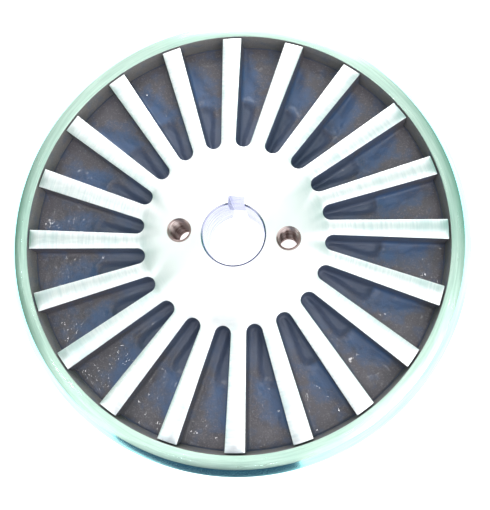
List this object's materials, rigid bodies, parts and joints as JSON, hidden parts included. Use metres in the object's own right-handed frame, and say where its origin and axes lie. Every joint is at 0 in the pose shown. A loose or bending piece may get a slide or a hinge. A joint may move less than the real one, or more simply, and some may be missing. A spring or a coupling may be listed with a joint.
{
  "type": "flywheel",
  "caption": "Ribbed cast flywheel with a keyed bore, tapped puller holes and a turned steel ring shrunk onto its rim.",
  "frame": {"origin": "centre of the bore, on the back face that the wheel rests on", "axes": "+Z along the bore axis out of the ribbed front face, +Y towards the keyway, +X towards one puller hole"},
  "size_m": [0.165, 0.165, 0.022],
  "materials": {
    "cast_iron_body": "face-turned bright grey iron",
    "steel_ring": "turned, fine concentric lay",
    "pocket_enamel": "glossy blue-black enamel on as-cast iron"
  },
  "bodies": {
    "root": {"flywheel_body": "cast_iron_body", "rim_ring": "steel_ring"}
  },
  "joints": []
}
